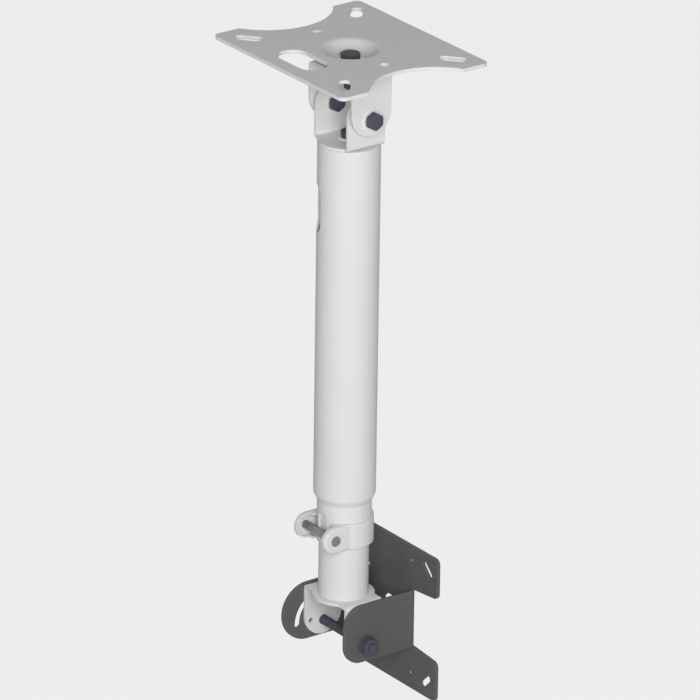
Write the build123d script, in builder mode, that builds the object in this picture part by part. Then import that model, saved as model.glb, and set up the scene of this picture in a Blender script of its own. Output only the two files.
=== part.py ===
from build123d import *
from math import atan2, cos, degrees, radians, sin, sqrt, tan
import os

os.makedirs("parts", exist_ok=True)

# The plate's top face lies on the ceiling at height 0, and the screen hangs on the +Y side.
# The column and both swivels stand on the Z axis, and both tilt axes run along X.

# Ceiling plate
plate_length = 173.7
plate_width = 142.7
plate_sheet = 3.0
plate_corner = 5.0
side_curve_depth = 25.3
side_curve_chord = 92.0
ceiling_slot_x = 64.2
ceiling_slot_y = 52.8
ceiling_slot_length = 23.0
ceiling_slot_width = 10.0
locating_hole_x = 45.1
locating_hole_radius = 4.25
cable_hole_y = -46.4
cable_hole_length = 50.5
cable_hole_width = 25.4

# Dish pressed into the plate, down to the swivel
dish_depth = 10.5
dish_rim_radius = 23.2
dish_floor_radius = 11.5
dish_press_radius = 4.0
dish_land = 4.0

# Swivel bolt in the dish, its nut and washers
swivel_bolt_radius = 5.0
swivel_flats = 15.0
swivel_head_height = 5.5
swivel_nut_height = 8.0
swivel_bolt_end = 6.4
swivel_washer_radius = 10.0
swivel_washer_sheet = 1.5
friction_washer_radius = 12.0
friction_washer_sheet = 1.0

# Bolts, nuts and washers of the tilt joints and of the column, all of one smaller size
bolt_radius = 4.0
hex_flats = 13.0
head_height = 5.3
nut_height = 6.5
thin_nut_height = 4.0
washer_radius = 8.0
washer_sheet = 1.6
base_bolt_end = 2.0
tilt_bolt_end = 1.5
pivot_bolt_end = 3.0
tilt_spacer_radius = 10.0
tilt_spacer_length = 4.05

# Hex heads
hex_crown = 0.94
hex_crown_angle = 60
tip_chamfer = 1.0

# Clearances
bolted_clearance = 0.3
running_clearance = 0.06
turning_gap = 0.2
thread_clearance = 0.02
seat_clearance = 0.05

# Upper clevis, folded downwards
upper_width = 38.0
clevis_sheet = 2.5
clevis_bend = 1.5
upper_tilt_drop = 36.3
upper_ear_rise = 5.5

# Lower clevis, folded upwards round the same tilt axis
lower_span = 45.4
lower_width = 36.3
lower_base_drop = 24.6

# Column: outer tube, swaged down to a slit neck
column_radius = 25.4
column_wall = 2.0
end_plate_sheet = 4.0
column_length = 302.8
swage_length = 5.8
swage_round = 4.0
swage_corner = 1.0
neck_wall = 1.79
neck_length = 36.1
neck_slit_width = 10.0
neck_slit_drop = 8.0
outlet_drop = 55.8
outlet_height = 42.0
outlet_width = 20.0
outlet_heading = -121.0

# Clamp band round the neck, with two lugs and a pin across them
band_sheet = 1.75
band_clearance = 0.1
band_height = 22.0
band_drop = 14.1
lug_inset = 2.2
lug_depth = 5.0
lug_plate = 1.8
lug_rim = 1.6
lug_bend = 2.0
lug_web_inset = 2.0
lug_web_depth = 9.0
pin_radius = 3.5
pin_head_radius = 4.4
pin_head_height = 0.5
pin_gap = 0.2
pin_clearance = 0.1

# Sliding tube, its bush and its stop screw
inner_radius = 20.5
inner_wall = 2.0
inner_top_drop = 121.7
bush_height = 30.0
bush_lip = 2.0
stop_screw_drop = 22.5
stop_screw_radius = 1.6
stop_screw_rise = 1.0
stop_screw_heading = 53.6

# Yoke welded under the sliding tube, folded downwards
yoke_drop = 47.6
yoke_span = 58.6
yoke_width = 36.6
yoke_disc_radius = 25.8
yoke_sheet = 2.5
yoke_bend = 0.8
yoke_pivot_drop = 35.6
yoke_ear_rise = 5.9
yoke_cable_radius = 12.0
lock_hole_radius = 2.2
lock_hole_back = 12.4
lock_hole_rise = 2.1

# Friction washers between the yoke and the bracket
pivot_friction_radius = 9.0
pivot_friction_sheet = 0.5

# Tilt bracket, one folded sheet
bracket_sheet = 2.5
bracket_bend = 1.5
bracket_length = 128.0
bracket_height = 127.1
bracket_rise = 10.6
web_back = 50.3
waist_height = 50.6
arm_flare = 3.3
arm_corner = 5.0
right_cheek_reach = 21.95
right_cheek_corner = 17.0
left_cheek_reach = 38.5
left_cheek_flat = 0.2
arc_slot_radius = 23.5
arc_slot_width = 6.1
arc_slot_start = 95.0
arc_slot_sweep = 84.6
web_hole_radius = 9.8
small_hole_x = 28.0
small_hole_z = 50.4
small_hole_radius = 2.25
screen_slot_pitch = 100.0
screen_slot_length = 15.7
screen_slot_width = 5.5

# Heights, worked out from the ceiling downwards
dish_under = -dish_depth - plate_sheet
swivel_head_seat = -dish_depth + swivel_washer_sheet
swivel_friction_under = dish_under - friction_washer_sheet
upper_top = swivel_friction_under - turning_gap
swivel_washer_top = upper_top - clevis_sheet - turning_gap
swivel_nut_top = swivel_washer_top - swivel_washer_sheet
swivel_bolt_tip = swivel_nut_top - swivel_nut_height - swivel_bolt_end
tilt_height = upper_top - upper_tilt_drop
base_top = tilt_height - lower_base_drop
base_under = base_top - clevis_sheet
column_top = base_under - turning_gap
end_plate_under = column_top - end_plate_sheet
base_washer_top = end_plate_under - turning_gap
base_nut_top = base_washer_top - washer_sheet
base_bolt_tip = base_nut_top - nut_height - base_bolt_end
swage_top = column_top - column_length
neck_top = swage_top - swage_length
neck_end = neck_top - neck_length
band_top = neck_top - band_drop
pin_height = band_top - band_height / 2
inner_top = column_top - inner_top_drop
yoke_top = neck_end - yoke_drop
pivot_height = yoke_top - yoke_pivot_drop
bracket_middle = pivot_height + bracket_rise

# Radii and half widths that follow from the fits
swivel_hole_radius = swivel_bolt_radius + bolted_clearance
swivel_running_radius = swivel_bolt_radius + running_clearance
swivel_nut_bore_radius = swivel_bolt_radius + thread_clearance
shank_hole_radius = bolt_radius + bolted_clearance
shank_running_radius = bolt_radius + running_clearance
nut_bore_radius = bolt_radius + thread_clearance
column_bore_radius = column_radius - column_wall
neck_bore_radius = inner_radius + running_clearance
neck_radius = neck_bore_radius + neck_wall
band_inner_radius = neck_radius + band_clearance
band_outer_radius = band_inner_radius + band_sheet
lug_face = band_outer_radius - lug_inset
pin_hole_radius = pin_radius + pin_clearance
pin_back = inner_radius + pin_gap + pin_radius
upper_span = lower_span + 2 * (turning_gap + tilt_spacer_length + clevis_sheet)
bracket_span = yoke_span + 2 * (pivot_friction_sheet + turning_gap + bracket_sheet)
tilt_washer_face = lower_span / 2 - clevis_sheet - turning_gap
tilt_nut_face = tilt_washer_face - washer_sheet
tilt_head_seat = upper_span / 2 + washer_sheet
pivot_washer_face = bracket_span / 2 + turning_gap
pivot_stack_face = pivot_washer_face + washer_sheet
web_front = web_back - bracket_sheet


def level(height):
    """Horizontal plane at a height, facing up."""
    return Plane.XY.offset(height)


def level_down(height):
    """Horizontal plane at a height, facing down."""
    return Plane(origin=(0, 0, height), x_dir=(1, 0, 0), z_dir=(0, 0, -1))


def across(x, height):
    """Plane facing +X at a point of the XZ plane, with Y to its right and Z up."""
    return Plane(origin=(x, 0, height), x_dir=(0, 1, 0), z_dir=(1, 0, 0))


def across_back(x, height):
    """Plane facing -X at a point of the XZ plane, with Y to its left and Z up."""
    return Plane(origin=(x, 0, height), x_dir=(0, -1, 0), z_dir=(-1, 0, 0))


def flat_ring(seat, outer_radius, hole_radius, sheet):
    """Washer standing on a seat plane, on the side that the plane faces."""
    with BuildPart() as washer:
        with BuildSketch(seat):
            Circle(outer_radius)
            Circle(hole_radius, mode=Mode.SUBTRACT)
        extrude(amount=sheet)
    return washer.part


def hex_prism(seat, flats, height):
    """Hexagon standing on a seat plane, two of its corners in line with the plane's Y."""
    with BuildPart() as prism:
        with BuildSketch(seat):
            RegularPolygon(flats / 2, 6, major_radius=False, rotation=30)
        extrude(amount=height)
    return prism.part


def hex_bolt(seat, flats, height, shank, length):
    """Hex bolt: its crowned head stands on the seat plane, and the shank runs the other way."""
    with BuildPart() as bolt:
        add(hex_prism(seat, flats, height))
        with BuildSketch(seat.offset(height)):
            Circle(flats / 2 * hex_crown)
        extrude(amount=-height, taper=-hex_crown_angle, mode=Mode.INTERSECT)
        with BuildSketch(seat):
            Circle(shank)
        extrude(amount=-length)
        tip = bolt.faces().sort_by(Axis(seat.origin, seat.z_dir))[0]
        chamfer(tip.edges(), tip_chamfer)
    return bolt.part


def hex_nut(seat, flats, height, bore):
    """Nut standing on a seat plane, on the side that the plane faces."""
    with BuildPart() as nut:
        add(hex_prism(seat, flats, height))
        with BuildSketch(seat):
            Circle(bore)
        extrude(amount=height, mode=Mode.SUBTRACT)
    return nut.part


def folded_channel(span, width, sheet, bend, base, ear_centre):
    """U folded from sheet: its base's outer face at one height, its ears rounded about another."""
    way = 1 if ear_centre > base else -1
    reach = abs(ear_centre - base) + width
    with BuildPart() as channel:
        with BuildSketch(Plane.XZ):
            with Locations((0, base + way * reach / 2)):
                RectangleRounded(span, reach, bend + sheet)
            with Locations((0, base + way * (sheet + reach / 2))):
                RectangleRounded(span - 2 * sheet, reach, bend, mode=Mode.SUBTRACT)
        extrude(amount=width / 2, both=True)
        with BuildSketch(Plane.YZ):
            with Locations((0, (base + ear_centre) / 2)):
                Rectangle(width, abs(ear_centre - base))
            with Locations((0, ear_centre)):
                Circle(width / 2)
        extrude(amount=span, both=True, mode=Mode.INTERSECT)
    return channel.part


def round_base(radius, flat_width, seat, sheet):
    """Base plate whose round ends stand out past the ears, on a seat plane."""
    with BuildPart() as plate:
        with BuildSketch(seat):
            Circle(radius)
            Rectangle(flat_width, 2 * radius, mode=Mode.INTERSECT)
        extrude(amount=sheet)
    return plate.part


def cheek(reach, corner):
    """Right-hand half of the bracket's waist: half its web, and a cheek folded forwards from it."""
    depth = web_back + reach + corner
    with BuildPart() as half:
        with BuildSketch(level(bracket_middle)):
            with Locations((0, web_back - depth / 2)):
                RectangleRounded(bracket_span, depth, bracket_bend + bracket_sheet)
            with Locations((0, web_front - depth / 2)):
                RectangleRounded(bracket_span - 2 * bracket_sheet, depth, bracket_bend, mode=Mode.SUBTRACT)
            with Locations((-bracket_span / 2, 0)):
                Rectangle(bracket_span, 3 * depth, mode=Mode.SUBTRACT)
        extrude(amount=waist_height / 2, both=True)
        with BuildSketch(across(0, bracket_middle)):
            with Locations((depth / 2 - reach + corner, 0)):
                RectangleRounded(depth + 2 * corner, waist_height, corner)
        extrude(amount=bracket_span, mode=Mode.INTERSECT)
    return half.part


# Ceiling plate: flat sheet with a hollow cut in each end, and the dish pressed down from it
dish_lean = atan2(dish_depth, dish_rim_radius - dish_floor_radius)
dish_shift = plate_sheet / 2 * tan(dish_lean / 2)
dish_outer_radius = dish_rim_radius + dish_press_radius + dish_land
side_curve_radius = (side_curve_chord**2 / 4 + side_curve_depth**2) / (2 * side_curve_depth)
side_curve_x = plate_length / 2 - side_curve_depth + side_curve_radius
ceiling_slot_heading = degrees(atan2(ceiling_slot_y, ceiling_slot_x))

with BuildPart() as ceiling_plate:
    with BuildSketch():
        RectangleRounded(plate_length, plate_width, plate_corner)
        with Locations((side_curve_x, 0), (-side_curve_x, 0)):
            Circle(side_curve_radius, mode=Mode.SUBTRACT)
        Circle(dish_outer_radius, mode=Mode.SUBTRACT)
    extrude(amount=-plate_sheet)
    with BuildSketch(Plane.XZ):
        with BuildLine() as dish_line:
            FilletPolyline(
                (swivel_hole_radius, -dish_depth - plate_sheet / 2),
                (dish_floor_radius + dish_shift, -dish_depth - plate_sheet / 2),
                (dish_rim_radius + dish_shift, -plate_sheet / 2),
                (dish_outer_radius, -plate_sheet / 2),
                radius=dish_press_radius + plate_sheet / 2,
            )
        trace(dish_line.line, plate_sheet)
    revolve(axis=Axis.Z)
    with BuildSketch():
        with Locations((locating_hole_x, 0), (-locating_hole_x, 0)):
            Circle(locating_hole_radius)
        with Locations((0, cable_hole_y)):
            SlotOverall(cable_hole_length, cable_hole_width)
        for end in (-1, 1):
            for side in (-1, 1):
                with Locations((end * ceiling_slot_x, side * ceiling_slot_y)):
                    SlotOverall(
                        ceiling_slot_length,
                        ceiling_slot_width,
                        rotation=end * side * ceiling_slot_heading,
                    )
    extrude(amount=-plate_sheet, mode=Mode.SUBTRACT)
ceiling_plate.part.label = "ceiling_plate"
export_step(ceiling_plate.part, "parts/ceiling_plate.step")

# Swivel in the dish: the bolt, its washers and its nut stay with the plate
with BuildPart() as swivel_bolt:
    bolt_seat = level(swivel_head_seat)
    shank_length = swivel_head_seat - swivel_bolt_tip
    add(hex_bolt(bolt_seat, swivel_flats, swivel_head_height, swivel_bolt_radius, shank_length))
swivel_bolt.part.label = "swivel_bolt"
export_step(swivel_bolt.part, "parts/swivel_bolt.step")

with BuildPart() as swivel_head_washer:
    add(flat_ring(level(-dish_depth), swivel_washer_radius, swivel_hole_radius, swivel_washer_sheet))
swivel_head_washer.part.label = "swivel_head_washer"
export_step(swivel_head_washer.part, "parts/swivel_head_washer.step")

with BuildPart() as swivel_friction_washer:
    friction_seat = level_down(dish_under)
    add(flat_ring(friction_seat, friction_washer_radius, swivel_hole_radius, friction_washer_sheet))
swivel_friction_washer.part.label = "swivel_friction_washer"
export_step(swivel_friction_washer.part, "parts/swivel_friction_washer.step")

with BuildPart() as swivel_lower_washer:
    washer_seat = level(swivel_nut_top)
    add(flat_ring(washer_seat, swivel_washer_radius, swivel_hole_radius, swivel_washer_sheet))
swivel_lower_washer.part.label = "swivel_lower_washer"
export_step(swivel_lower_washer.part, "parts/swivel_lower_washer.step")

with BuildPart() as swivel_nut:
    nut_seat = level_down(swivel_nut_top)
    add(hex_nut(nut_seat, swivel_flats, swivel_nut_height, swivel_nut_bore_radius))
swivel_nut.part.label = "swivel_nut"
export_step(swivel_nut.part, "parts/swivel_nut.step")

# Upper clevis: turns under the dish and carries the tilt bolts
with BuildPart() as upper_clevis:
    upper_ear_centre = tilt_height + upper_ear_rise
    add(folded_channel(upper_span, upper_width, clevis_sheet, clevis_bend, upper_top, upper_ear_centre))
    with BuildSketch(level(upper_top)):
        Circle(swivel_running_radius)
    extrude(amount=-clevis_sheet, mode=Mode.SUBTRACT)
    with BuildSketch(across(0, tilt_height)):
        Circle(shank_hole_radius)
    extrude(amount=upper_span, both=True, mode=Mode.SUBTRACT)
upper_clevis.part.label = "upper_clevis"
export_step(upper_clevis.part, "parts/upper_clevis.step")

# Upper tilt joint: one bolt from each side, with a spacer between the ears and a nut inside
with BuildPart() as tilt_bolts:
    bolt_seat = across(tilt_head_seat, tilt_height)
    shank_length = tilt_head_seat - tilt_nut_face + thin_nut_height + tilt_bolt_end
    add(hex_bolt(bolt_seat, hex_flats, head_height, bolt_radius, shank_length))
    mirror(about=Plane.YZ)
tilt_bolts.part.label = "tilt_bolts"
export_step(tilt_bolts.part, "parts/tilt_bolts.step")

with BuildPart() as tilt_head_washers:
    add(flat_ring(across(upper_span / 2, tilt_height), washer_radius, shank_hole_radius, washer_sheet))
    mirror(about=Plane.YZ)
tilt_head_washers.part.label = "tilt_head_washers"
export_step(tilt_head_washers.part, "parts/tilt_head_washers.step")

with BuildPart() as tilt_spacers:
    spacer_seat = across_back(upper_span / 2 - clevis_sheet, tilt_height)
    add(flat_ring(spacer_seat, tilt_spacer_radius, shank_hole_radius, tilt_spacer_length))
    mirror(about=Plane.YZ)
tilt_spacers.part.label = "tilt_spacers"
export_step(tilt_spacers.part, "parts/tilt_spacers.step")

with BuildPart() as tilt_inner_washers:
    add(flat_ring(across_back(tilt_washer_face, tilt_height), washer_radius, shank_hole_radius, washer_sheet))
    mirror(about=Plane.YZ)
tilt_inner_washers.part.label = "tilt_inner_washers"
export_step(tilt_inner_washers.part, "parts/tilt_inner_washers.step")

with BuildPart() as tilt_nuts:
    add(hex_nut(across_back(tilt_nut_face, tilt_height), hex_flats, thin_nut_height, nut_bore_radius))
    mirror(about=Plane.YZ)
tilt_nuts.part.label = "tilt_nuts"
export_step(tilt_nuts.part, "parts/tilt_nuts.step")

# Lower clevis: its base is round at the front and back, as wide there as the column
with BuildPart() as lower_clevis:
    add(folded_channel(lower_span, lower_width, clevis_sheet, clevis_bend, base_under, tilt_height))
    base_flat_width = lower_span - 2 * (clevis_bend + clevis_sheet)
    add(round_base(column_radius, base_flat_width, level(base_under), clevis_sheet))
    with BuildSketch(level(base_under)):
        Circle(shank_hole_radius)
    extrude(amount=clevis_sheet, mode=Mode.SUBTRACT)
    with BuildSketch(across(0, tilt_height)):
        Circle(shank_running_radius)
    extrude(amount=lower_span, both=True, mode=Mode.SUBTRACT)
lower_clevis.part.label = "lower_clevis"
export_step(lower_clevis.part, "parts/lower_clevis.step")

# Lower swivel: the bolt, its washers and its nut turn with the lower clevis
with BuildPart() as base_bolt:
    base_seat_height = base_top + washer_sheet
    shank_length = base_seat_height - base_bolt_tip
    add(hex_bolt(level(base_seat_height), hex_flats, head_height, bolt_radius, shank_length))
base_bolt.part.label = "base_bolt"
export_step(base_bolt.part, "parts/base_bolt.step")

with BuildPart() as base_head_washer:
    add(flat_ring(level(base_top), washer_radius, shank_hole_radius, washer_sheet))
base_head_washer.part.label = "base_head_washer"
export_step(base_head_washer.part, "parts/base_head_washer.step")

with BuildPart() as base_lower_washer:
    add(flat_ring(level(base_nut_top), washer_radius, shank_hole_radius, washer_sheet))
base_lower_washer.part.label = "base_lower_washer"
export_step(base_lower_washer.part, "parts/base_lower_washer.step")

with BuildPart() as base_nut:
    add(hex_nut(level_down(base_nut_top), hex_flats, nut_height, nut_bore_radius))
base_nut.part.label = "base_nut"
export_step(base_nut.part, "parts/base_nut.step")

# Round plate welded into the top of the column
with BuildPart() as tube_end_plate:
    end_plate_radius = column_bore_radius - seat_clearance
    add(flat_ring(level_down(column_top), end_plate_radius, shank_running_radius, end_plate_sheet))
tube_end_plate.part.label = "tube_end_plate"
export_step(tube_end_plate.part, "parts/tube_end_plate.step")

# Outer tube: swaged down at its lower end, slit at the front, open for the cable near its top
outlet_angle = radians(outlet_heading)
outlet_facing = Vector(cos(outlet_angle), sin(outlet_angle), 0)
outlet_side = Vector(-sin(outlet_angle), cos(outlet_angle), 0)
outlet_origin = Vector(0, 0, column_top - outlet_drop)
slit_top = neck_top - neck_slit_drop

with BuildPart() as outer_tube:
    with BuildSketch(Plane.XZ) as tube_section:
        with BuildLine():
            Polyline(
                (column_radius, column_top),
                (column_radius, swage_top),
                (neck_radius, neck_top),
                (neck_radius, neck_end),
                (neck_bore_radius, neck_end),
                (neck_bore_radius, neck_top),
                (column_bore_radius, swage_top),
                (column_bore_radius, column_top),
                close=True,
            )
        make_face()
        outer_corners = tube_section.vertices().group_by(Axis.X)
        fillet(outer_corners[-1].sort_by(Axis.Y)[0], swage_round)
        fillet(outer_corners[1].sort_by(Axis.Y)[-1], swage_corner)
    revolve(axis=Axis.Z)
    with BuildSketch(Plane.XZ):
        with Locations((0, slit_top - neck_slit_width / 2)):
            Circle(neck_slit_width / 2)
        with Locations((0, (slit_top - neck_slit_width / 2 + neck_end) / 2)):
            Rectangle(neck_slit_width, slit_top - neck_slit_width / 2 - neck_end)
    extrude(amount=column_radius, mode=Mode.SUBTRACT)
    with BuildSketch(Plane(origin=outlet_origin, x_dir=outlet_side, z_dir=outlet_facing)):
        SlotOverall(outlet_height, outlet_width, rotation=90)
    extrude(amount=2 * column_radius, mode=Mode.SUBTRACT)
    with BuildSketch(across(0, pin_height)):
        with Locations((-pin_back, 0)):
            Circle(pin_hole_radius)
    extrude(amount=column_radius, both=True, mode=Mode.SUBTRACT)
outer_tube.part.label = "outer_tube"
export_step(outer_tube.part, "parts/outer_tube.step")

# Clamp band: ring open at the front, its ends folded out into two pressed lugs, deeper beside the neck
band_gap_back = sqrt(band_outer_radius**2 - lug_face**2)
lug_root = band_gap_back - band_sheet
lug_round = band_height / 2
lug_web_reach = pin_back - lug_web_inset


def lug_section(reach):
    """Plane across a lug in front of the column, facing back, with X to its right."""
    return Plane(origin=(0, -reach, pin_height), x_dir=(1, 0, 0), z_dir=(0, 1, 0))


with BuildPart() as clamp_band:
    with BuildSketch(level(band_top)):
        Circle(band_outer_radius)
        with Locations((0, -band_gap_back - band_outer_radius / 2)):
            Rectangle(2 * band_outer_radius, band_outer_radius, mode=Mode.SUBTRACT)
    extrude(amount=-band_height)
    for reach, depth in ((lug_web_reach, lug_web_depth), (pin_back, lug_depth)):
        with BuildSketch(lug_section(reach)) as lug_outline:
            with Locations((lug_face - depth / 2, 0)):
                Rectangle(depth, band_height)
            fillet(lug_outline.vertices().group_by(Axis.X)[-1], lug_bend)
        extrude(amount=reach - lug_root)
    with BuildSketch(lug_section(pin_back)) as lug_half:
        with Locations((lug_face - lug_depth / 2, -lug_round / 2)):
            Rectangle(lug_depth, lug_round)
        fillet(lug_half.vertices().sort_by(Axis.X)[-2:].sort_by(Axis.Y)[0], lug_bend)
    revolve(axis=Axis((0, -pin_back, pin_height), (1, 0, 0)), revolution_arc=180)
    with BuildSketch(across(lug_face - lug_plate, pin_height)):
        with Locations((-pin_back, 0)):
            Circle(lug_round - lug_rim)
        with Locations((-(pin_back + lug_root) / 2, 0)):
            Rectangle(pin_back - lug_root, band_height - 2 * lug_rim)
    extrude(amount=-lug_web_depth, mode=Mode.SUBTRACT)
    mirror(about=Plane.YZ)
    with BuildSketch(level(band_top)):
        Circle(band_inner_radius)
    extrude(amount=-band_height, mode=Mode.SUBTRACT)
    with BuildSketch(across(0, pin_height)):
        with Locations((-pin_back, 0)):
            Circle(pin_hole_radius)
    extrude(amount=band_outer_radius, both=True, mode=Mode.SUBTRACT)
clamp_band.part.label = "clamp_band"
export_step(clamp_band.part, "parts/clamp_band.step")

with BuildPart() as clamp_pin:
    with BuildSketch(across(0, pin_height)):
        with Locations((-pin_back, 0)):
            Circle(pin_radius)
    extrude(amount=lug_face, both=True)
    with BuildSketch(across(lug_face, pin_height)):
        with Locations((-pin_back, 0)):
            Circle(pin_head_radius)
    extrude(amount=pin_head_height)
    mirror(about=Plane.YZ)
clamp_pin.part.label = "clamp_pin"
export_step(clamp_pin.part, "parts/clamp_pin.step")

# Plastic bush that centres the top of the sliding tube, its lip over the tube's end
with BuildPart() as glide_bush:
    with BuildSketch(level(inner_top + turning_gap + bush_lip)):
        Circle(column_bore_radius - running_clearance)
        Circle(inner_radius - inner_wall, mode=Mode.SUBTRACT)
    extrude(amount=-bush_height)
    with BuildSketch(level(inner_top + turning_gap)):
        Circle(inner_radius + running_clearance)
    extrude(amount=-bush_height, mode=Mode.SUBTRACT)
glide_bush.part.label = "glide_bush"
export_step(glide_bush.part, "parts/glide_bush.step")

# Sliding tube, with a tapped hole for the stop screw that keeps it from going up too far
stop_angle = radians(stop_screw_heading)
stop_facing = Vector(cos(stop_angle), sin(stop_angle), 0)
stop_origin = Vector(0, 0, neck_end - stop_screw_drop)
stop_plane = Plane(origin=stop_origin, x_dir=(0, 0, 1), z_dir=stop_facing)

with BuildPart() as inner_tube:
    with BuildSketch(level(inner_top)):
        Circle(inner_radius)
        Circle(inner_radius - inner_wall, mode=Mode.SUBTRACT)
    extrude(amount=yoke_top - inner_top)
    with BuildSketch(stop_plane):
        Circle(stop_screw_radius + thread_clearance)
    extrude(amount=2 * inner_radius, mode=Mode.SUBTRACT)
inner_tube.part.label = "inner_tube"
export_step(inner_tube.part, "parts/inner_tube.step")

with BuildPart() as stop_screw:
    with BuildSketch(stop_plane.offset(inner_radius - inner_wall)):
        Circle(stop_screw_radius)
    extrude(amount=inner_wall + stop_screw_rise)
stop_screw.part.label = "stop_screw"
export_step(stop_screw.part, "parts/stop_screw.step")

# Yoke: folded sheet welded under the sliding tube, open in its middle for the cable
with BuildPart() as yoke:
    yoke_ear_centre = pivot_height + yoke_ear_rise
    add(folded_channel(yoke_span, yoke_width, yoke_sheet, yoke_bend, yoke_top, yoke_ear_centre))
    yoke_flat_width = yoke_span - 2 * (yoke_bend + yoke_sheet)
    add(round_base(yoke_disc_radius, yoke_flat_width, level(yoke_top - yoke_sheet), yoke_sheet))
    with BuildSketch(level(yoke_top)):
        Circle(yoke_cable_radius)
    extrude(amount=-yoke_sheet, mode=Mode.SUBTRACT)
    with BuildSketch(across(0, pivot_height)):
        Circle(shank_hole_radius)
    extrude(amount=yoke_span, both=True, mode=Mode.SUBTRACT)
    with BuildSketch(across(-yoke_span / 2, pivot_height)):
        with Locations((-lock_hole_back, lock_hole_rise)):
            Circle(lock_hole_radius)
    extrude(amount=yoke_sheet, mode=Mode.SUBTRACT)
yoke.part.label = "yoke"
export_step(yoke.part, "parts/yoke.step")

# Pivot of the bracket: one long bolt, which stays with the yoke
with BuildPart() as pivot_bolt:
    shank_length = 2 * pivot_stack_face + nut_height + pivot_bolt_end
    pivot_seat = across_back(-pivot_stack_face, pivot_height)
    add(hex_bolt(pivot_seat, hex_flats, head_height, bolt_radius, shank_length))
pivot_bolt.part.label = "pivot_bolt"
export_step(pivot_bolt.part, "parts/pivot_bolt.step")

with BuildPart() as pivot_washers:
    add(flat_ring(across(pivot_washer_face, pivot_height), washer_radius, shank_hole_radius, washer_sheet))
    mirror(about=Plane.YZ)
pivot_washers.part.label = "pivot_washers"
export_step(pivot_washers.part, "parts/pivot_washers.step")

with BuildPart() as pivot_nut:
    add(hex_nut(across(pivot_stack_face, pivot_height), hex_flats, nut_height, nut_bore_radius))
pivot_nut.part.label = "pivot_nut"
export_step(pivot_nut.part, "parts/pivot_nut.step")

with BuildPart() as pivot_friction_washers:
    friction_seat = across(yoke_span / 2, pivot_height)
    add(flat_ring(friction_seat, pivot_friction_radius, shank_hole_radius, pivot_friction_sheet))
    mirror(about=Plane.YZ)
pivot_friction_washers.part.label = "pivot_friction_washers"
export_step(pivot_friction_washers.part, "parts/pivot_friction_washers.step")

# Tilt bracket: web with four arms for the screen, and two cheeks folded forwards to the pivot
half_waist = waist_height / 2
flat_half = bracket_span / 2 - bracket_bend - bracket_sheet
arm_end = bracket_length / 2
web_plane = Plane(origin=(0, web_back, bracket_middle), x_dir=(1, 0, 0), z_dir=(0, -1, 0))

with BuildPart() as tilt_bracket:
    with BuildSketch(web_plane) as web:
        Rectangle(bracket_length, bracket_height)
        with BuildSketch(mode=Mode.PRIVATE) as notch:
            with BuildLine():
                Polyline(
                    (flat_half, half_waist),
                    (arm_end, half_waist + arm_flare),
                    (arm_end, 0),
                    (flat_half, 0),
                    close=True,
                )
            make_face()
            mirror(about=Plane.XZ)
            mirror(about=Plane.YZ)
        add(notch.sketch, mode=Mode.SUBTRACT)
        arm_ends = web.vertices().group_by(Axis.X)
        fillet(arm_ends[0] + arm_ends[-1], arm_corner)
        for end in (-1, 1):
            for side in (-1, 1):
                with Locations((end * small_hole_x, side * small_hole_z)):
                    Circle(small_hole_radius, mode=Mode.SUBTRACT)
                with Locations((end * screen_slot_pitch / 2, side * screen_slot_pitch / 2)):
                    SlotOverall(
                        screen_slot_length,
                        screen_slot_width,
                        rotation=-45 * end * side,
                        mode=Mode.SUBTRACT,
                    )
    extrude(amount=bracket_sheet)
    add(cheek(right_cheek_reach, right_cheek_corner))
    add(mirror(cheek(left_cheek_reach, half_waist - left_cheek_flat / 2), about=Plane.YZ, mode=Mode.PRIVATE))
    with BuildSketch(web_plane):
        Circle(web_hole_radius)
    extrude(amount=bracket_sheet, mode=Mode.SUBTRACT)
    with BuildSketch(across(0, pivot_height)):
        Circle(shank_running_radius)
    extrude(amount=bracket_span, both=True, mode=Mode.SUBTRACT)
    with BuildSketch(across(-bracket_span / 2, pivot_height)):
        with BuildLine() as slot_line:
            CenterArc((0, 0), arc_slot_radius, arc_slot_start, arc_slot_sweep)
        SlotArc(slot_line.wire(), arc_slot_width)
    extrude(amount=bracket_sheet, mode=Mode.SUBTRACT)
tilt_bracket.part.label = "tilt_bracket"
export_step(tilt_bracket.part, "parts/tilt_bracket.step")
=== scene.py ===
import bpy
from math import radians
from mathutils import Matrix, Vector


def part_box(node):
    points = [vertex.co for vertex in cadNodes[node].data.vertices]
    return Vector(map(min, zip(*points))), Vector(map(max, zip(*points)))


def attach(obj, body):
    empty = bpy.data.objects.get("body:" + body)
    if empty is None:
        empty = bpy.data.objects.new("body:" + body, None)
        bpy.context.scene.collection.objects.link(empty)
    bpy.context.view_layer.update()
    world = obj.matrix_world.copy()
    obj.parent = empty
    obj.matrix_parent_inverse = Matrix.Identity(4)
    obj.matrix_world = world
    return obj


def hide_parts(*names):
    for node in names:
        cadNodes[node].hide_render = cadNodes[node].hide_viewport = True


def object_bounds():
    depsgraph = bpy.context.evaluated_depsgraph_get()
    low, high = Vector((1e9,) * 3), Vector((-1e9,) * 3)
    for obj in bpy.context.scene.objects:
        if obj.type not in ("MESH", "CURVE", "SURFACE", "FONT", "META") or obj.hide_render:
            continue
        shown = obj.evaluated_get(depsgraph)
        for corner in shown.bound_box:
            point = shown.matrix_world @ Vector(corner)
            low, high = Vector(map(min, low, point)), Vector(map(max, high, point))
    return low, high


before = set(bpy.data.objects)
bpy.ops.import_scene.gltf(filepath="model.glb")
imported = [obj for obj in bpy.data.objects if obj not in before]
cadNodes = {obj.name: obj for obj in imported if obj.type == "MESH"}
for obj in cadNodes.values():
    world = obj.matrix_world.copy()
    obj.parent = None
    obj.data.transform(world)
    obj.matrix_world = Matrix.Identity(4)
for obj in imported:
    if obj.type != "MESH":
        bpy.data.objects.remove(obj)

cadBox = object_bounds()
print("frame loaded,", len(cadNodes), "nodes")

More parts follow.
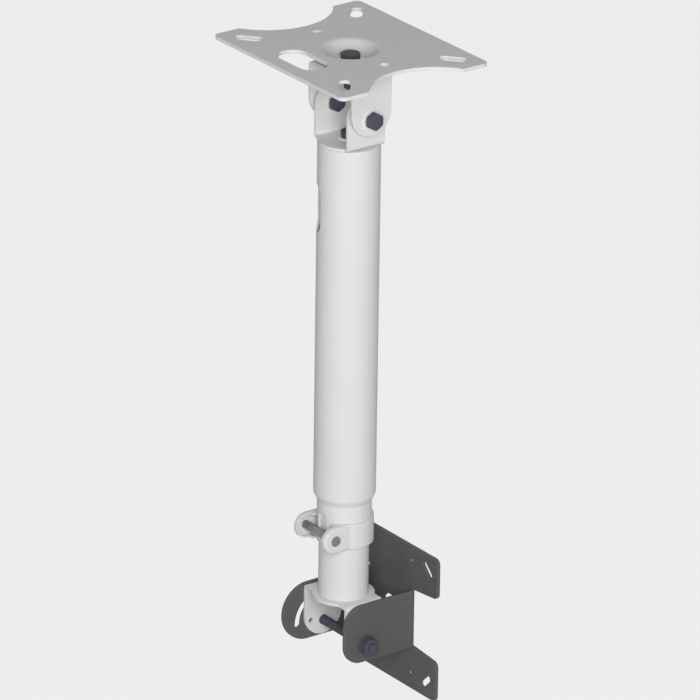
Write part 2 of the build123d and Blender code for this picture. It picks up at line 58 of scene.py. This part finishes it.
# Camera, as far off and as long as the one in the photograph
cameraSet = {
    "place": (4.11068, -3.02786, 1.88876),
    "azimuth": 53.593,
    "elevation": 22.803,
    "roll": 0.7921,
    "lens": 355.015,
    "sensor": 36,
    "farthest": 60,
}


def placeCamera(values):
    eye = bpy.data.cameras.new("camera")
    eye.lens = values["lens"]
    eye.sensor_width = values["sensor"]
    eye.clip_end = values["farthest"]
    holder = bpy.data.objects.new("camera", eye)
    bpy.context.scene.collection.objects.link(holder)
    turn = Matrix.Rotation(radians(values["azimuth"]), 4, "Z")
    turn = turn @ Matrix.Rotation(radians(90 - values["elevation"]), 4, "X")
    turn = turn @ Matrix.Rotation(radians(values["roll"]), 4, "Z")
    holder.matrix_world = Matrix.Translation(values["place"]) @ turn
    bpy.context.scene.camera = holder


placeCamera(cameraSet)
bpy.context.scene.view_settings.view_transform = "Standard"

# Studio: a big soft lamp near the camera, weak ones at its left and behind the mount
lampSet = {
    "key": {"from": (1.98, -1.32, 0.95), "size": 1.5, "power": 49},
    "fill": {"from": (-1.6, -1.9, 0.3), "size": 1.8, "power": 1},
    "rim": {"from": (-1.7, 1.25, 1.2), "size": 1.6, "power": 4.5},
}
mountMiddle = (Vector(cadBox[0]) + Vector(cadBox[1])) / 2


def hangLamp(name, values):
    light = bpy.data.lights.new(name, "AREA")
    light.shape = "SQUARE"
    light.size = values["size"]
    light.energy = values["power"]
    lamp = bpy.data.objects.new(name, light)
    bpy.context.scene.collection.objects.link(lamp)
    lamp.location = mountMiddle + Vector(values["from"])
    lamp.rotation_euler = Vector(values["from"]).to_track_quat("Z", "Y").to_euler()


for lampName, lampValues in lampSet.items():
    hangLamp(lampName, lampValues)
print("camera and lamps placed")


class Wire:
    def __init__(self, tree, socket):
        self.tree = tree
        self.socket = socket

    def sum(self, operation, first, second):
        node = self.tree.nodes.new("ShaderNodeMath")
        node.operation = operation
        for place, value in zip(node.inputs, (first, second)):
            if isinstance(value, Wire):
                self.tree.links.new(value.socket, place)
            else:
                place.default_value = value
        return Wire(self.tree, node.outputs[0])

    def __add__(self, other):
        return self.sum("ADD", self, other)

    def __radd__(self, other):
        return self.sum("ADD", other, self)

    def __sub__(self, other):
        return self.sum("SUBTRACT", self, other)

    def __rsub__(self, other):
        return self.sum("SUBTRACT", other, self)

    def __mul__(self, other):
        return self.sum("MULTIPLY", self, other)

    def __rmul__(self, other):
        return self.sum("MULTIPLY", other, self)


class Finish:
    def __init__(self, owner):
        owner.use_nodes = True
        self.owner = owner
        self.tree = owner.node_tree
        self.tree.nodes.clear()

    def make(self, kind, settings=None, sockets=None, out=0):
        node = self.tree.nodes.new(kind)
        for name, value in (settings or {}).items():
            setattr(node, name, value)
        for name, value in (sockets or {}).items():
            if isinstance(value, Wire):
                self.tree.links.new(value.socket, node.inputs[name])
            else:
                node.inputs[name].default_value = value
        return Wire(self.tree, node.outputs[out]) if len(node.outputs) else node


def seenDirectly(paper):  # camera, mirror and clear rays see the backdrop, the rest only its light
    seen = paper.make("ShaderNodeLightPath", out="Is Camera Ray")
    mirrored = paper.make("ShaderNodeLightPath", out="Is Glossy Ray")
    through = paper.make("ShaderNodeLightPath", out="Is Transmission Ray")
    return paper.make(
        "ShaderNodeMath",
        {"operation": "ADD", "use_clamp": True},
        {0: seen + mirrored, 1: through},
    )


worldSet = {"light": 0.20, "backdrop": 0.87, "tint": (1.0, 1.0, 1.0, 1.0)}


def paintWorld(values):
    world = bpy.data.worlds.new("studio")
    bpy.context.scene.world = world
    paper = Finish(world)
    strength = values["light"] + (values["backdrop"] - values["light"]) * seenDirectly(paper)
    air = paper.make(
        "ShaderNodeBackground", None, {"Color": values["tint"], "Strength": strength}
    )
    paper.make("ShaderNodeOutputWorld", None, {"Surface": air})


floorSet = {  # under the lowest that the bracket slides, and far enough to meet the backdrop
    "height": -0.76,
    "side": 40.0,
    "centre": (-1.2, 1.0),
    "tone": (0.66, 0.66, 0.66, 1.0),
    "roughness": 0.9,
    "white": (0.97, 0.97, 0.97, 1.0),
    "whiteShare": 0.82,
}


def layFloor(values):
    bpy.ops.object.select_all(action="DESELECT")
    bpy.ops.mesh.primitive_plane_add(
        size=values["side"], location=(*values["centre"], values["height"])
    )
    floor = bpy.context.object
    floor.name = "floor"
    bpy.ops.object.transform_apply(location=True, rotation=True, scale=True)
    paper = Finish(bpy.data.materials.new("floorPaper"))
    matt = paper.make(
        "ShaderNodeBsdfPrincipled", None,
        {"Base Color": values["tone"], "Roughness": values["roughness"]},
    )
    glow = paper.make("ShaderNodeEmission", None, {"Color": values["white"], "Strength": 1.0})
    share = values["whiteShare"] * seenDirectly(paper)
    both = paper.make("ShaderNodeMixShader", None, {0: share, 1: matt, 2: glow})
    paper.make("ShaderNodeOutputMaterial", None, {"Surface": both})
    floor.data.materials.append(paper.owner)


paintWorld(worldSet)
layFloor(floorSet)
print("world and floor ready")

# Finishes. Patch and grain are how fine the two noises are, per metre, and lengths are in metres.
# The edge colour of each finish is a painted highlight, laid lighter along the edges
finishSet = {
    "lightPaint": {
        "low": (0.775, 0.775, 0.772, 1), "high": (0.815, 0.815, 0.812, 1),
        "edgeHighlight": (0.86, 0.86, 0.857, 1), "edgeHighlightShare": 0.8, "round": 0.0006,
        "patch": 14, "grain": 1500, "grainHeight": 0.000012,
        "roughness": 0.56, "roughSpread": 0.10, "metal": 0.0, "gloss": 0.15,
    },
    "darkPaint": {
        "low": (0.114, 0.114, 0.115, 1), "high": (0.136, 0.136, 0.137, 1),
        "edgeHighlight": (0.30, 0.30, 0.30, 1), "edgeHighlightShare": 0.7, "round": 0.0006,
        "patch": 18, "grain": 1900, "grainHeight": 0.000016,
        "roughness": 0.50, "roughSpread": 0.12, "metal": 0.0, "gloss": 0.08,
    },
    "darkSteel": {
        "low": (0.082, 0.082, 0.108, 1), "high": (0.106, 0.106, 0.136, 1),
        "edgeHighlight": (0.24, 0.24, 0.27, 1), "edgeHighlightShare": 0.6, "round": 0.0003,
        "patch": 220, "grain": 2600, "grainHeight": 0.000008,
        "roughness": 0.42, "roughSpread": 0.14, "metal": 0.02, "gloss": 0.02,
    },
    "platedSteel": {
        "low": (0.80, 0.80, 0.80, 1), "high": (0.87, 0.87, 0.87, 1),
        "edgeHighlight": (0.93, 0.93, 0.93, 1), "edgeHighlightShare": 0.6, "round": 0.0002,
        "patch": 160, "grain": 2400, "grainHeight": 0.000006,
        "roughness": 0.30, "roughSpread": 0.12, "metal": 0.35, "gloss": 0.5,
    },
    "plainSteel": {
        "low": (0.21, 0.21, 0.212, 1), "high": (0.26, 0.26, 0.262, 1),
        "edgeHighlight": (0.42, 0.42, 0.425, 1), "edgeHighlightShare": 0.6, "round": 0.0003,
        "patch": 180, "grain": 2300, "grainHeight": 0.000008,
        "roughness": 0.36, "roughSpread": 0.12, "metal": 0.45, "gloss": 0.5,
    },
    "slidePlastic": {
        "low": (0.60, 0.60, 0.59, 1), "high": (0.66, 0.66, 0.65, 1),
        "edgeHighlight": (0.72, 0.72, 0.71, 1), "edgeHighlightShare": 0.5, "round": 0.0003,
        "patch": 60, "grain": 1700, "grainHeight": 0.000010,
        "roughness": 0.48, "roughSpread": 0.08, "metal": 0.0, "gloss": 0.5,
    },
}
mixSet = {
    "grainDetail": 3.0,
    "patchDetail": 4.0,
    "bevelSamples": 6,
    # how far the bevel-rounded normal must bend away from the flat normal before the painted edge
    # highlight is full
    "edgeHighlightFrom": 0.01,
    "edgeHighlightTo": 0.20,
    "patchShare": 0.7,
    "grainShare": 0.3,
    "shadeFrom": 0.3,
    "shadeTo": 0.7,
    "roughShare": 0.5,
    "roughMiddle": 0.5,
}


def mixFinish(name, values, mix):
    paper = Finish(bpy.data.materials.new(name))
    place = paper.make("ShaderNodeTexCoord", out="Object")
    grain = paper.make(
        "ShaderNodeTexNoise", None,
        {"Vector": place, "Scale": values["grain"], "Detail": mix["grainDetail"]},
    )
    patch = paper.make(
        "ShaderNodeTexNoise", None,
        {"Vector": place, "Scale": values["patch"], "Detail": mix["patchDetail"]},
    )
    soft = paper.make(
        "ShaderNodeBevel", {"samples": mix["bevelSamples"]}, {"Radius": values["round"]}
    )
    flat = paper.make("ShaderNodeNewGeometry", out="Normal")
    # painted highlight: where the bevel-rounded normal leaves the flat normal, at the edges, the
    # colour blends towards the lighter edge colour
    along = paper.make(
        "ShaderNodeVectorMath", {"operation": "DOT_PRODUCT"}, {0: soft, 1: flat}, out="Value"
    )
    edgeHighlight = paper.make(
        "ShaderNodeMapRange", {"clamp": True},
        {
            "Value": 1 - along, "From Min": mix["edgeHighlightFrom"], "From Max": mix["edgeHighlightTo"],
            "To Max": values["edgeHighlightShare"],
        },
    )
    cloudy = patch * mix["patchShare"] + grain * mix["grainShare"]
    shade = paper.make(
        "ShaderNodeMapRange", {"clamp": True},
        {"Value": cloudy, "From Min": mix["shadeFrom"], "From Max": mix["shadeTo"]},
    )
    tone = paper.make(
        "ShaderNodeMix", {"data_type": "RGBA"},
        {0: shade, 6: values["low"], 7: values["high"]}, out=2,
    )
    # the lighter edge colour laid over the tone is a painted highlight along the edges
    colour = paper.make(
        "ShaderNodeMix", {"data_type": "RGBA"}, {0: edgeHighlight, 6: tone, 7: values["edgeHighlight"]}, out=2
    )
    uneven = patch * mix["roughShare"] + grain * mix["roughShare"] - mix["roughMiddle"]
    rough = values["roughness"] + values["roughSpread"] * uneven
    skin = paper.make(
        "ShaderNodeBump", None,
        {"Strength": 1.0, "Distance": values["grainHeight"], "Height": grain, "Normal": soft},
    )
    body = paper.make(
        "ShaderNodeBsdfPrincipled", None,
        {
            "Base Color": colour, "Roughness": rough, "Metallic": values["metal"],
            "Specular IOR Level": values["gloss"], "Normal": skin,
        },
    )
    paper.make("ShaderNodeOutputMaterial", None, {"Surface": body})
    return paper.owner


finishes = {name: mixFinish(name, values, mixSet) for name, values in finishSet.items()}
print("finishes mixed:", ", ".join(finishes))

nodeFinishes = {
    "lightPaint": (
        "ceiling_plate", "upper_clevis", "lower_clevis", "outer_tube", "tube_end_plate",
        "clamp_band", "inner_tube", "yoke",
    ),
    "darkPaint": ("tilt_bracket",),
    "darkSteel": (
        "swivel_bolt", "swivel_nut", "tilt_bolts", "tilt_nuts", "base_bolt", "base_nut",
        "pivot_bolt", "pivot_nut", "pivot_washers",
    ),
    "platedSteel": (
        "swivel_head_washer", "swivel_lower_washer", "tilt_head_washers", "tilt_spacers",
        "tilt_inner_washers", "base_head_washer", "base_lower_washer",
    ),
    "plainSteel": ("clamp_pin", "stop_screw"),
    "slidePlastic": ("swivel_friction_washer", "pivot_friction_washers", "glide_bush"),
}
for finishName, nodeNames in nodeFinishes.items():
    for nodeName in nodeNames:
        for slot in cadNodes[nodeName].material_slots:
            slot.material = finishes[finishName]
print("finishes on", sum(len(names) for names in nodeFinishes.values()), "nodes")

# Nuts, each a hexagon turned down at both ends and bored. Lengths in metres, angles in degrees
nutSet = {
    "crownCircle": 0.94,  # share of the flats
    "crownDepth": 0.0008,
    "crownSpread": 1.30,
    "sides": 48,
    "round": 0.00015,
    "roundSteps": 2,
    "roundAngle": 35,
    "smoothAngle": 30,
}
nutPlaces = {
    "pivot_nut": {"body": "slide", "axis": "X", "bore": 0.00402, "height": 0.0065},
    "tilt_nuts": {"body": "swivel", "axis": "X", "bore": 0.00402, "height": 0.0040},
    "swivel_nut": {"body": "ceiling", "axis": "Z", "bore": 0.00502, "height": 0.0080},
    "base_nut": {"body": "tilt", "axis": "Z", "bore": 0.00402, "height": 0.0065},
}


def useModifier(piece, kind, **settings):
    bpy.ops.object.select_all(action="DESELECT")
    piece.select_set(True)
    bpy.context.view_layer.objects.active = piece
    modifier = piece.modifiers.new("step", kind)
    for name, value in settings.items():
        setattr(modifier, name, value)
    bpy.ops.object.modifier_apply(modifier=modifier.name)


def cutWith(piece, tool, operation):
    useModifier(piece, "BOOLEAN", operation=operation, object=tool, solver="EXACT")
    bpy.data.objects.remove(tool, do_unlink=True)


def turnBlank(flats, height, values):  # round blank, narrower at both ends
    endRadius = flats / 2 * values["crownCircle"]
    widest = values["crownSpread"]
    depth = values["crownDepth"]
    bpy.ops.object.select_all(action="DESELECT")
    bpy.ops.mesh.primitive_circle_add(
        vertices=values["sides"], radius=endRadius, fill_type="NGON", location=(0, 0, -height / 2)
    )
    blank = bpy.context.object
    bpy.ops.object.mode_set(mode="EDIT")
    bpy.ops.mesh.select_all(action="SELECT")
    for rise, spread in ((depth, widest), (height - 2 * depth, 1), (depth, 1 / widest)):
        bpy.ops.mesh.extrude_region_move(TRANSFORM_OT_translate={"value": (0, 0, rise)})
        bpy.ops.transform.resize(value=(spread, spread, 1))
    bpy.ops.mesh.select_all(action="SELECT")
    bpy.ops.mesh.normals_make_consistent(inside=False)
    bpy.ops.object.mode_set(mode="OBJECT")
    bpy.ops.object.transform_apply(location=True, rotation=True, scale=True)
    return blank


def cutNut(flats, height, bore, values):
    blank = turnBlank(flats, height, values)
    bpy.ops.object.select_all(action="DESELECT")
    bpy.ops.mesh.primitive_cylinder_add(vertices=6, radius=flats / 3 ** 0.5, depth=height)
    nut = bpy.context.object
    cutWith(nut, blank, "INTERSECT")
    bpy.ops.object.select_all(action="DESELECT")
    bpy.ops.mesh.primitive_cylinder_add(vertices=values["sides"], radius=bore, depth=2 * height)
    cutWith(nut, bpy.context.object, "DIFFERENCE")
    useModifier(
        nut, "BEVEL", width=values["round"], segments=values["roundSteps"],
        limit_method="ANGLE", angle_limit=radians(values["roundAngle"]),
    )
    return nut


def placePiece(piece, turn, place, smoothAngle):
    bpy.ops.object.select_all(action="DESELECT")
    piece.select_set(True)
    bpy.context.view_layer.objects.active = piece
    piece.matrix_world = Matrix.Translation(place) @ turn
    bpy.ops.object.transform_apply(location=True, rotation=True, scale=True)
    bpy.ops.object.shade_smooth_by_angle(angle=radians(smoothAngle))


def fitNuts(node, values, shape):  # one nut at each end of the node's box, or one alone
    low, high = (Vector(corner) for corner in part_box(node))
    centre = (low + high) / 2
    along = "XYZ".index(values["axis"])
    half = values["height"] / 2
    flats = (high - low)[1 if values["axis"] == "X" else 0]
    turn = Matrix.Identity(4)
    if values["axis"] == "X":
        turn = Matrix.Rotation(radians(90), 4, "Y") @ Matrix.Rotation(radians(30), 4, "Z")
    ends = {round(low[along] + half, 6), round(high[along] - half, 6)}
    pieces = []
    for end in sorted(ends):
        place = centre.copy()
        place[along] = end
        nut = cutNut(flats, values["height"], values["bore"], shape)
        placePiece(nut, turn, place, shape["smoothAngle"])
        pieces.append(nut)
    bpy.ops.object.select_all(action="DESELECT")
    for nut in pieces:
        nut.select_set(True)
    bpy.context.view_layer.objects.active = pieces[0]
    if len(pieces) > 1:
        bpy.ops.object.join()
    return pieces[0]


for nutNode, nutValues in nutPlaces.items():
    fitted = fitNuts(nutNode, nutValues, nutSet)
    fitted.name = nutNode + "_turned"
    fitted.data.materials.clear()
    fitted.data.materials.append(finishes["darkSteel"])
    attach(fitted, nutValues["body"])
    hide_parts(nutNode)
print("nuts turned:", ", ".join(nutPlaces))
